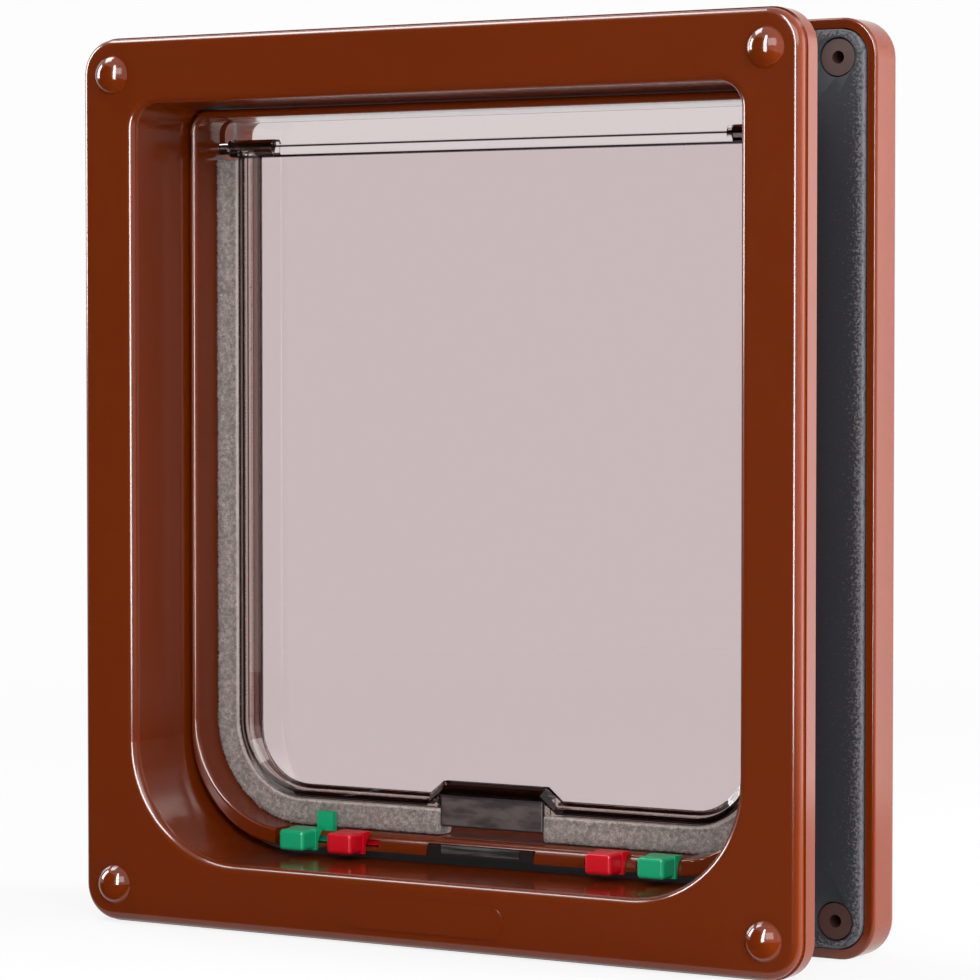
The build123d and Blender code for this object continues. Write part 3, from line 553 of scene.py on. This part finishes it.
def cut_foam(skin, edge):
    """Foam: dark skin, fine cells and pale specks of painted light, thicker towards its cut edge and thinner on it."""
    graph = new_graph("cut_foam")
    cells = graph.noise(scale=1400.0, detail=4.0, rough=0.75)
    outward = graph.attribute("outward")
    near = outward ** 5.0
    # Painted light: pale specks where the lamp catches the cut edge.
    lit_specks = (cells + 0.22 * near).smooth(0.6, 0.72)
    thinned = 1.0 - 0.65 * outward.smooth(0.92, 0.99)
    return graph.shade(
        color=graph.mix(lit_specks * (0.2 + 0.8 * near) * thinned, opaque(skin), opaque(edge)),
        roughness=0.88 + 0.1 * cells,
        normal=graph.bump(cells, strength=0.5, distance=0.3 * MM),
    )


def drawn_metal(name, colour, roughness):
    """Bare metal with fine lines along its length."""
    graph = new_graph(name)
    lines = graph.noise(scale=1.0, detail=3.0, vector=graph.stretched((60.0, 6000.0, 6000.0)))
    return graph.shade(
        color=opaque(colour),
        metallic=1.0,
        roughness=roughness + 0.15 * lines,
        normal=graph.bump(lines, strength=0.15, distance=0.05 * MM),
    )


def paint(names, material):
    """Gives CAD nodes one material in place of their own."""
    for name in names:
        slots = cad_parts[name].data.materials
        slots.clear()
        slots.append(material)


def grid_faces(rows, columns):
    """Quads of a grid of points whose last column joins its first, as rows of four point numbers."""
    row, column = np.meshgrid(np.arange(rows - 1), np.arange(columns), indexing="ij")
    after = (column + 1) % columns
    corners = (row * columns + column, row * columns + after, (row + 1) * columns + after, (row + 1) * columns + column)
    return np.stack(corners, axis=-1).reshape(-1, 4)


def make_piece(name, points, faces, material, smooth=True, **numbers):
    """Mesh object from an array of points, arrays of faces with as many corners each, and numbers for each point."""
    mesh = bpy.data.meshes.new(name)
    mesh.from_pydata(points.tolist(), [], [face for group in faces for face in group.tolist()])
    mesh.polygons.foreach_set("use_smooth", np.full(len(mesh.polygons), smooth))
    for key, values in numbers.items():
        mesh.attributes.new(key, "FLOAT", "POINT").data.foreach_set("value", np.asarray(values, np.float32))
    if material:
        mesh.materials.append(material)
    mesh.update()
    piece = bpy.data.objects.new(name, mesh)
    bpy.context.scene.collection.objects.link(piece)
    return piece


def unit(vectors):
    """Vectors of length one."""
    return vectors / np.linalg.norm(vectors, axis=-1, keepdims=True)


def strip_line(along, high, outer, side, width, corner):
    """Centre line of a strip at distances along it, and the way out of it in the plane of the flap.

    It runs straight down a side, round a quarter circle of radius corner - width / 2 and along the foot.
    """
    radius = corner - width / 2
    bend = radius * math.pi / 2
    angle = np.clip((along - side) / radius, 0.0, math.pi / 2)
    down = np.minimum(along, side)
    inwards = np.maximum(along - side - bend, 0.0)
    out = np.stack((np.cos(angle), np.zeros_like(along), -np.sin(angle)), axis=-1)
    start = np.stack((outer - corner - inwards, np.zeros_like(along), high - down), axis=-1)
    return start + radius * out, out


def oblong(angle, power):
    """Point of a superellipse with half widths of one, and its outward direction: |x|^power + |y|^power = 1."""
    cosine, sine = np.cos(angle), np.sin(angle)
    point = np.stack((np.sign(cosine) * np.abs(cosine) ** (2 / power), np.sign(sine) * np.abs(sine) ** (2 / power)), -1)
    normal = np.sign(point) * np.abs(point) ** (power - 1)
    return point, unit(normal)


def spikes(roots, ways, lengths, radius, rng):
    """Tapered three-sided fibres that bend a little, as points, four-sided faces and triangles.

    Each has a ring of three points at its root, root + radius * (cos t * first + sin t * second), a thinner ring past
    half its length and a tip at root + length * way + bend.
    """
    count = len(roots)
    helper = unit(rng.normal(size=(count, 3)))
    first = unit(np.cross(ways, helper))
    second = np.cross(ways, first)
    turn = np.arange(3) * 2 * math.pi / 3
    ring = np.cos(turn)[None, :, None] * first[:, None] + np.sin(turn)[None, :, None] * second[:, None]
    bend = FIBRE_BEND * lengths[:, None] * rng.normal(size=(count, 3))
    middle = roots + RING_PLACE * lengths[:, None] * ways + RING_BEND * bend
    tip = roots + lengths[:, None] * ways + bend
    points = np.concatenate(
        (roots[:, None] + radius * ring, middle[:, None] + RING_SHARE * radius * ring, tip[:, None]), axis=1
    )
    first_ring, second_ring = np.arange(3), np.arange(3) + 3
    after = np.roll(first_ring, -1)
    walls = np.stack((first_ring, after, after + 3, second_ring), axis=-1)
    cone = np.stack((second_ring, after + 3, np.full(3, 6)), axis=-1)
    base = np.array([[2, 1, 0]])
    step = 7 * np.arange(count)[:, None, None]
    return (
        points.reshape(-1, 3),
        (walls + step).reshape(-1, 4),
        (np.concatenate((cone, base))[None] + step).reshape(-1, 3),
    )


def binding(angle):
    """One along the pale inner edge of a pile strip, beside the flap's rim, and zero elsewhere round its section."""
    section, _ = oblong(angle, PILE_SQUARENESS)
    return np.clip((-section[..., 0] - BINDING_START) / BINDING_FADE, 0.0, 1.0)


def pile_piece(label, side, sizes, material):
    """Strip of brush pile: a felted core carried along the edge of the flap, and fibres that stand on its two faces.

    A point of the core is line + width / 2 * x * out + (middle + half depth * y) * depth, where (x, y) goes round a
    superellipse, and line and out go along the strip.
    """
    low, high = (np.array(corner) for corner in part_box(f"pile_strip_{label}"))
    reaches = np.abs((low[0], high[0]))
    outer, end = reaches.max() + sizes.reach, reaches.min()
    foot = low[2] - sizes.reach
    middle, half_depth = (low[1] + high[1]) / 2, (high[1] - low[1]) / 2
    upright = high[2] - foot - sizes.corner
    length = upright + (sizes.corner - sizes.width / 2) * math.pi / 2 + outer - sizes.corner - end
    rng = np.random.default_rng(sizes.seed + side)

    def surface(along, angle, share):
        """Point and outward direction of the strip at a distance along it and an angle round it."""
        line, out = strip_line(along, high[2], outer, upright, sizes.width, sizes.corner)
        section, tilt = oblong(angle, PILE_SQUARENESS)
        half = np.array((sizes.width / 2, half_depth)) * share
        depth = np.array((0.0, 1.0, 0.0))
        point = line + half[0] * section[..., :1] * out + (middle + half[1] * section[..., 1:]) * depth
        normal = tilt[..., :1] * out + tilt[..., 1:] * depth
        mirror = np.array((side, 1.0, 1.0))
        return point * mirror, normal * mirror

    along, angle = np.meshgrid(
        np.linspace(0.0, length, PILE_ROWS),
        np.linspace(0.0, 2 * math.pi, PILE_COLUMNS, endpoint=False),
        indexing="ij",
    )
    core = surface(along, angle, 1.0)[0].reshape(-1, 3)
    ends = np.stack((core[:PILE_COLUMNS].mean(0), core[-PILE_COLUMNS:].mean(0)))
    loop = np.arange(PILE_COLUMNS)
    last = (PILE_ROWS - 1) * PILE_COLUMNS
    caps = np.concatenate((
        np.stack((np.roll(loop, -1), loop, np.full(PILE_COLUMNS, len(core))), -1),
        np.stack((last + loop, last + np.roll(loop, -1), np.full(PILE_COLUMNS, len(core) + 1)), -1),
    ))

    root_along = rng.uniform(ROOT_MARGIN, length - ROOT_MARGIN, sizes.fibres)
    face = np.where(rng.random(sizes.fibres) < FRONT_SHARE, -1.0, 1.0)
    root_angle = face * rng.uniform(*ROOT_ANGLES, sizes.fibres) * math.pi
    roots, ways = surface(root_along, root_angle, ROOT_DEPTH)
    ways = unit(ways + FIBRE_LEAN * rng.normal(size=ways.shape))
    lengths = sizes.fibre_length * rng.uniform(SHORTEST_FIBRE, 1.0, sizes.fibres)
    fibres, walls, cones = spikes(roots, ways, lengths, sizes.fibre_radius, rng)
    fibres[:, 0] = side * np.minimum(side * fibres[:, 0], outer)
    fibres[:, 2] = np.maximum(fibres[:, 2], foot)

    # Painted shade: the core and the fibres' roots are darker in the depth of the pile.
    core_tone = CORE_SHADE_TONE + CORE_BINDING_TONE * binding(angle).reshape(-1)
    own_tone = rng.normal(TONE_MIDDLE, TONE_SPREAD, sizes.fibres) + FIBRE_BINDING_TONE * binding(root_angle)
    fibre_tone = np.clip(own_tone, 0.0, TONE_LIMIT)[:, None] * FIBRE_SHADE_TONES
    offset = len(core) + len(ends)
    piece = make_piece(
        f"pile_{label}",
        np.concatenate((core, ends, fibres)),
        (grid_faces(PILE_ROWS, PILE_COLUMNS)[:, ::-side], caps[:, ::-side], walls + offset, cones + offset),
        material,
        tone=np.concatenate((core_tone, np.full(len(ends), CORE_SHADE_TONE), fibre_tone.reshape(-1))),
    )
    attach(piece, "flap")
    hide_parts(f"pile_strip_{label}")
    return piece


def rounded_outline(half, low, high, low_corner, high_corner, per_side, per_corner):
    """Closed upright outline: four quarter circles, centre + radius * (cos t, sin t), and straight sides between."""
    centres = np.array((
        (half - high_corner, high - high_corner),
        (high_corner - half, high - high_corner),
        (low_corner - half, low + low_corner),
        (half - low_corner, low + low_corner),
    ))
    radii = np.array((high_corner, high_corner, low_corner, low_corner))
    angle = np.arange(4)[:, None] * math.pi / 2 + np.linspace(0.0, math.pi / 2, per_corner)[None]
    arcs = centres[:, None] + radii[:, None, None] * np.stack((np.cos(angle), np.sin(angle)), -1)
    share = np.linspace(0.0, 1.0, per_side + 2)[1:-1]
    sides = arcs[:, -1:] + share[None, :, None] * (np.roll(arcs, -1, axis=0)[:, :1] - arcs[:, -1:])
    return np.concatenate((arcs, sides), axis=1).reshape(-1, 2)


def boss_pegs(radius, near, far):
    """Round peg at each screw: centre + radius * (cos t, sin t), carried from one depth to another and closed."""
    centres = np.array([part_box(node) for node in CAP_NODES]).mean(axis=1)[:, (0, 2)]
    angle = np.linspace(0.0, 2 * math.pi, PEG_SIDES, endpoint=False)
    flat = centres[:, None] + radius * np.stack((np.cos(angle), np.sin(angle)), -1)[None]
    points = np.zeros((len(centres), 2, PEG_SIDES, 3))
    points[..., 0] = flat[:, None, :, 0]
    points[..., 1] = np.array((near, far))[None, :, None]
    points[..., 2] = flat[:, None, :, 1]
    step = 2 * PEG_SIDES * np.arange(len(centres))[:, None, None]
    walls = grid_faces(2, PEG_SIDES)[None, :, ::-1] + step
    ends = np.stack((np.arange(PEG_SIDES - 1, -1, -1), np.arange(PEG_SIDES, 2 * PEG_SIDES)))[None, :, ::-1] + step
    faces = (walls.reshape(-1, 4), ends.reshape(-1, PEG_SIDES))
    return make_piece("boss_pegs", points.reshape(-1, 3), faces, None, smooth=False)


def bore(piece, cutter):
    """Cuts one closed piece out of another, applies the cut and removes the cutter."""
    cut = piece.modifiers.new("bore", "BOOLEAN")
    cut.operation = "DIFFERENCE"
    cut.solver = "EXACT"
    cut.object = cutter
    whole = piece.data
    piece.data = bpy.data.meshes.new_from_object(piece.evaluated_get(bpy.context.evaluated_depsgraph_get()))
    piece.modifiers.clear()
    bpy.data.meshes.remove(whole)
    piece.data.name = piece.name
    bpy.data.objects.remove(cutter)


def foam_piece(sizes, material):
    """Foam ring with a ragged cut edge, and holes for the screw bosses.

    Between the sleeve's outline and the plate's, a point is inner + (1 + x) / 2 * (outer - inner) at the depth
    middle + half depth * y, where (x, y) goes round a superellipse.
    """
    low, high = (np.array(corner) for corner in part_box("outer_gasket"))
    outer = rounded_outline(high[0], low[2], high[2], sizes.corner, sizes.corner, *OUTLINE_SAMPLES)
    inner = rounded_outline(
        sizes.hole_half, sizes.hole_low, sizes.hole_high, sizes.hole_low_corner, sizes.hole_high_corner,
        *OUTLINE_SAMPLES,
    )
    angle = np.linspace(0.0, 2 * math.pi, FOAM_COLUMNS, endpoint=False)
    section, _ = oblong(angle, FOAM_SQUARENESS)
    across = 0.5 + 0.5 * section[:, 0]
    depth = (low[1] + high[1]) / 2 + (high[1] - low[1]) / 2 * section[:, 1]
    flat = inner[:, None] + across[None, :, None] * (outer - inner)[:, None]
    points = np.stack((flat[..., 0], np.broadcast_to(depth, flat.shape[:2]), flat[..., 1]), -1)
    rng = np.random.default_rng(sizes.seed)
    rim = np.clip((np.abs(section[:, 0]) - CUT_EDGE) / (1.0 - CUT_EDGE), 0.0, 1.0)
    wander = rng.uniform(-1.0, 0.0, flat.shape[:2]) * rim * sizes.ragged
    away = unit((outer - inner)[:, None]) * np.sign(section[:, :1])[None]
    points[..., 0] += wander * away[..., 0]
    points[..., 2] += wander * away[..., 1]
    rows = len(outer)
    faces = grid_faces(rows + 1, FOAM_COLUMNS) % (rows * FOAM_COLUMNS)
    piece = make_piece(
        "foam_ring", points.reshape(-1, 3), (faces,), material,
        outward=np.broadcast_to(across, flat.shape[:2]).reshape(-1),
    )
    bore(piece, boss_pegs(sizes.boss_hole, low[1] - PEG_OVERSHOOT, high[1] + PEG_OVERSHOOT))
    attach(piece, "outdoor_frame")
    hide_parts("outer_gasket")
    return piece


def photo_camera(stage):
    """Camera at the photograph's place, angle and focal length."""
    data = bpy.data.cameras.new("camera")
    data.lens = stage.lens
    data.sensor_width = SENSOR_WIDTH
    camera = bpy.data.objects.new("camera", data)
    camera.location = stage.place
    camera.rotation_euler = stage.turn
    bpy.context.scene.collection.objects.link(camera)
    return camera


def aimed(place, target):
    """Turn that points an object's -Z axis from its place to a target, with its X axis level."""
    way = np.array(target) - np.array(place)
    return (math.atan2(math.hypot(way[0], way[1]), -way[2]), 0.0, math.atan2(-way[0], way[1]))


def area_lamp(name, place, target, size, radiance):
    """Rectangular lamp aimed at a point; its power is radiance times pi times its area."""
    data = bpy.data.lights.new(name, "AREA")
    data.shape = "RECTANGLE"
    data.size, data.size_y = size
    data.energy = radiance * math.pi * size[0] * size[1]
    lamp = bpy.data.objects.new(name, data)
    lamp.location = place
    lamp.rotation_euler = aimed(place, target)
    lamp.visible_camera = False
    lamp.visible_transmission = False
    lamp.visible_diffuse = name not in MIRROR_ONLY
    lamp.visible_glossy = name not in MATT_ONLY
    bpy.context.scene.collection.objects.link(lamp)
    return lamp


def flat_card(name, size, place, turn, material):
    """Flat rectangle of the stage, turned and placed, whose points are numbered from -1 to 1 across and up."""
    corners = np.array(((-1, -1, 0), (1, -1, 0), (1, 1, 0), (-1, 1, 0))) * np.array((*size, 0.0)) / 2
    points = corners @ np.array(Euler(turn).to_matrix()).T + np.array(place)
    across, up = np.sign(corners[:, :2]).T
    card = make_piece(name, points, (np.array([[0, 1, 2, 3]]),), material, smooth=False, across=across, up=up)
    return card


def dark_card(name, size, place, turn, material, mirrored, behind):
    """Black card that stops no light, which mirrors see directly, or through the clear flap that it is behind."""
    card = flat_card(name, size, place, turn, material)
    card.visible_camera = False
    card.visible_diffuse = False
    card.visible_shadow = False
    card.visible_glossy = mirrored
    card.visible_transmission = behind
    return card


def pale_floor():
    """White floor: to the eye it is nearly all white glow with a faint shadow near the middle and none far away."""
    graph = new_graph("pale_floor")
    away = (graph.axis("X") ** 2.0 + graph.axis("Y") ** 2.0) ** 0.5
    glow_share = FLOOR_GLOW + (1.0 - FLOOR_GLOW) * away.smooth(*GLOW_FADE)
    matt = graph.node("BsdfDiffuse", {}, {"Color": MATT_WHITE})
    glow = graph.node("Emission", {}, {"Color": WHITE, "Strength": 1.0})
    mixed = graph.node(
        "MixShader",
        {},
        {0: glow_share * graph.seen(), 1: graph.wire(matt, "BSDF"), 2: graph.wire(glow, "Emission")},
    )
    graph.node("OutputMaterial", {}, {"Surface": graph.wire(mixed, "Shader")})
    return graph.owner


def dark_cloth(name, fade):
    """Black cloth of the cards, which is clear to what has not been mirrored before and fades out at its edges."""
    graph = new_graph(name)
    mirrored = graph.wire(graph.node("LightPath"), "Glossy Depth").smaller(1.0)
    across, up = ((1.0 - graph.attribute(key).size()).smooth(0.0, fade) for key in ("across", "up"))
    clear = graph.node("BsdfTransparent")
    cloth = graph.node("BsdfDiffuse", {}, {"Color": CLOTH_BLACK})
    mixed = graph.node(
        "MixShader",
        {},
        {0: mirrored * across * up, 1: graph.wire(clear, "BSDF"), 2: graph.wire(cloth, "BSDF")},
    )
    graph.node("OutputMaterial", {}, {"Surface": graph.wire(mixed, "Shader")})
    return graph.owner


def white_surroundings(ambient):
    """Surroundings that look white and give a share of that as light."""
    graph = Graph(bpy.data.worlds.new("surroundings"))
    strength = ambient + (1.0 - ambient) * graph.seen()
    background = graph.node("Background", {}, {"Color": WHITE, "Strength": strength})
    graph.node("OutputWorld", {}, {"Surface": graph.wire(background, "Background")})
    return graph.owner


class CATFLAP_OT_frames(Operator):
    """Give the two frames and the screw caps their brown moulded finish"""

    bl_idname = "catflap.frames"
    bl_label = "Finish Frames"

    def execute(self, context):
        finish = context.scene.catflap_finish
        paint(FRAME_NODES, moulded_plastic("brown_plastic", finish.brown))
        bosses = dulled_plastic(
            "boss_plastic", finish.brown, finish.boss_shade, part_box("outer_gasket"), context.scene.catflap_foam.boss_hole
        )
        paint(("outer_frame",), bosses)
        paint(CAP_NODES, moulded_plastic("cap_plastic", finish.brown, roughness=0.1))
        return {"FINISHED"}


class CATFLAP_OT_flap(Operator):
    """Give the flap, its pins, its magnet holder, the tray and the magnets their finishes"""

    bl_idname = "catflap.flap"
    bl_label = "Finish Flap"

    def execute(self, context):
        finish = context.scene.catflap_finish
        paint(("flap_panel",), smoked_clear(finish, context.scene.catflap_panel))
        holder = clouded_plastic(
            "holder_plastic", finish.black, finish.shade, finish.bloom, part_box("magnet_holder")
        )
        paint(("magnet_holder",), holder)
        paint(("magnet_tray",), moulded_plastic("tray_plastic", finish.black, roughness=0.3))
        paint(PIN_NODES, drawn_metal("pin_steel", finish.steel, roughness=0.1))
        paint(MAGNET_NODES, bar_magnet(finish.magnet))
        return {"FINISHED"}


class CATFLAP_OT_pile(Operator):
    """Make the brush pile along the sides and foot of the flap"""

    bl_idname = "catflap.pile"
    bl_label = "Make Pile"

    def execute(self, context):
        finish = context.scene.catflap_finish
        material = brush_pile(finish.pile_dark, finish.pile_light)
        for label, side in SIDES.items():
            pile_piece(label, side, context.scene.catflap_pile, material)
        return {"FINISHED"}


class CATFLAP_OT_foam(Operator):
    """Make the foam ring on the door side of the outdoor frame"""

    bl_idname = "catflap.foam"
    bl_label = "Make Foam Ring"

    def execute(self, context):
        finish = context.scene.catflap_finish
        foam_piece(context.scene.catflap_foam, cut_foam(finish.foam, finish.foam_edge_light))
        return {"FINISHED"}


class CATFLAP_OT_locks(Operator):
    """Give the lock sliders their green and red finishes"""

    bl_idname = "catflap.locks"
    bl_label = "Finish Locks"

    def execute(self, context):
        finish = context.scene.catflap_finish
        for colour in COLOURS:
            nodes = tuple(f"lock_slider_{colour}_{label}" for label in SIDES)
            paint(nodes, moulded_plastic(f"{colour}_plastic", getattr(finish, colour), roughness=0.25, specular=0.3))
        return {"FINISHED"}


class CATFLAP_OT_stage(Operator):
    """Set the floor, the surroundings, the lamps and the camera"""

    bl_idname = "catflap.stage"
    bl_label = "Set Stage"

    def execute(self, context):
        scene, stage = context.scene, context.scene.catflap_stage
        scene.view_settings.view_transform = "Standard"
        scene.camera = photo_camera(stage)
        scene.world = white_surroundings(stage.ambient)
        for name, (place, target, size) in LAMPS.items():
            area_lamp(name, place, target, size, getattr(stage, name))
        flat_card("floor", FLOOR_SIZE, ORIGIN, LEVEL, pale_floor())
        cloths = {name: dark_cloth(name, fade) for name, fade in CLOTHS.items()}
        for name, (size, place, turn, cloth, seen_by) in CARDS.items():
            dark_card(name, size, place, turn, cloths[cloth], **seen_by)
        return {"FINISHED"}


class CATFLAP_PT_panel(Panel):
    """Settings and steps of the dressing"""

    bl_label = "Cat Flap"
    bl_idname = "CATFLAP_PT_panel"
    bl_space_type = "VIEW_3D"
    bl_region_type = "UI"
    bl_category = "Cat Flap"

    def draw(self, context):
        for step in STEPS:
            self.layout.operator(step.bl_idname)
        for group in GROUPS:
            settings = getattr(context.scene, group)
            column = self.layout.column(align=True)
            for key in settings.__annotations__:
                column.prop(settings, key)


GROUPS = {
    "catflap_finish": CatFlapFinish,
    "catflap_panel": CatFlapPanel,
    "catflap_pile": CatFlapPile,
    "catflap_foam": CatFlapFoam,
    "catflap_stage": CatFlapStage,
}
STEPS = (
    CATFLAP_OT_frames,
    CATFLAP_OT_flap,
    CATFLAP_OT_pile,
    CATFLAP_OT_foam,
    CATFLAP_OT_locks,
    CATFLAP_OT_stage,
)


def register():
    """Adds the settings, the steps and the panel."""
    for group in GROUPS.values():
        bpy.utils.register_class(group)
    for step in STEPS:
        bpy.utils.register_class(step)
    bpy.utils.register_class(CATFLAP_PT_panel)
    for name, group in GROUPS.items():
        setattr(bpy.types.Scene, name, PointerProperty(type=group))


def unregister():
    """Takes away what register adds."""
    for name in GROUPS:
        delattr(bpy.types.Scene, name)
    bpy.utils.unregister_class(CATFLAP_PT_panel)
    for step in reversed(STEPS):
        bpy.utils.unregister_class(step)
    for group in reversed(GROUPS.values()):
        bpy.utils.unregister_class(group)


def main():
    """Runs every step in order."""
    register()
    bpy.ops.catflap.frames()
    bpy.ops.catflap.flap()
    bpy.ops.catflap.pile()
    bpy.ops.catflap.foam()
    bpy.ops.catflap.locks()
    bpy.ops.catflap.stage()


if __name__ == "__main__":
    main()
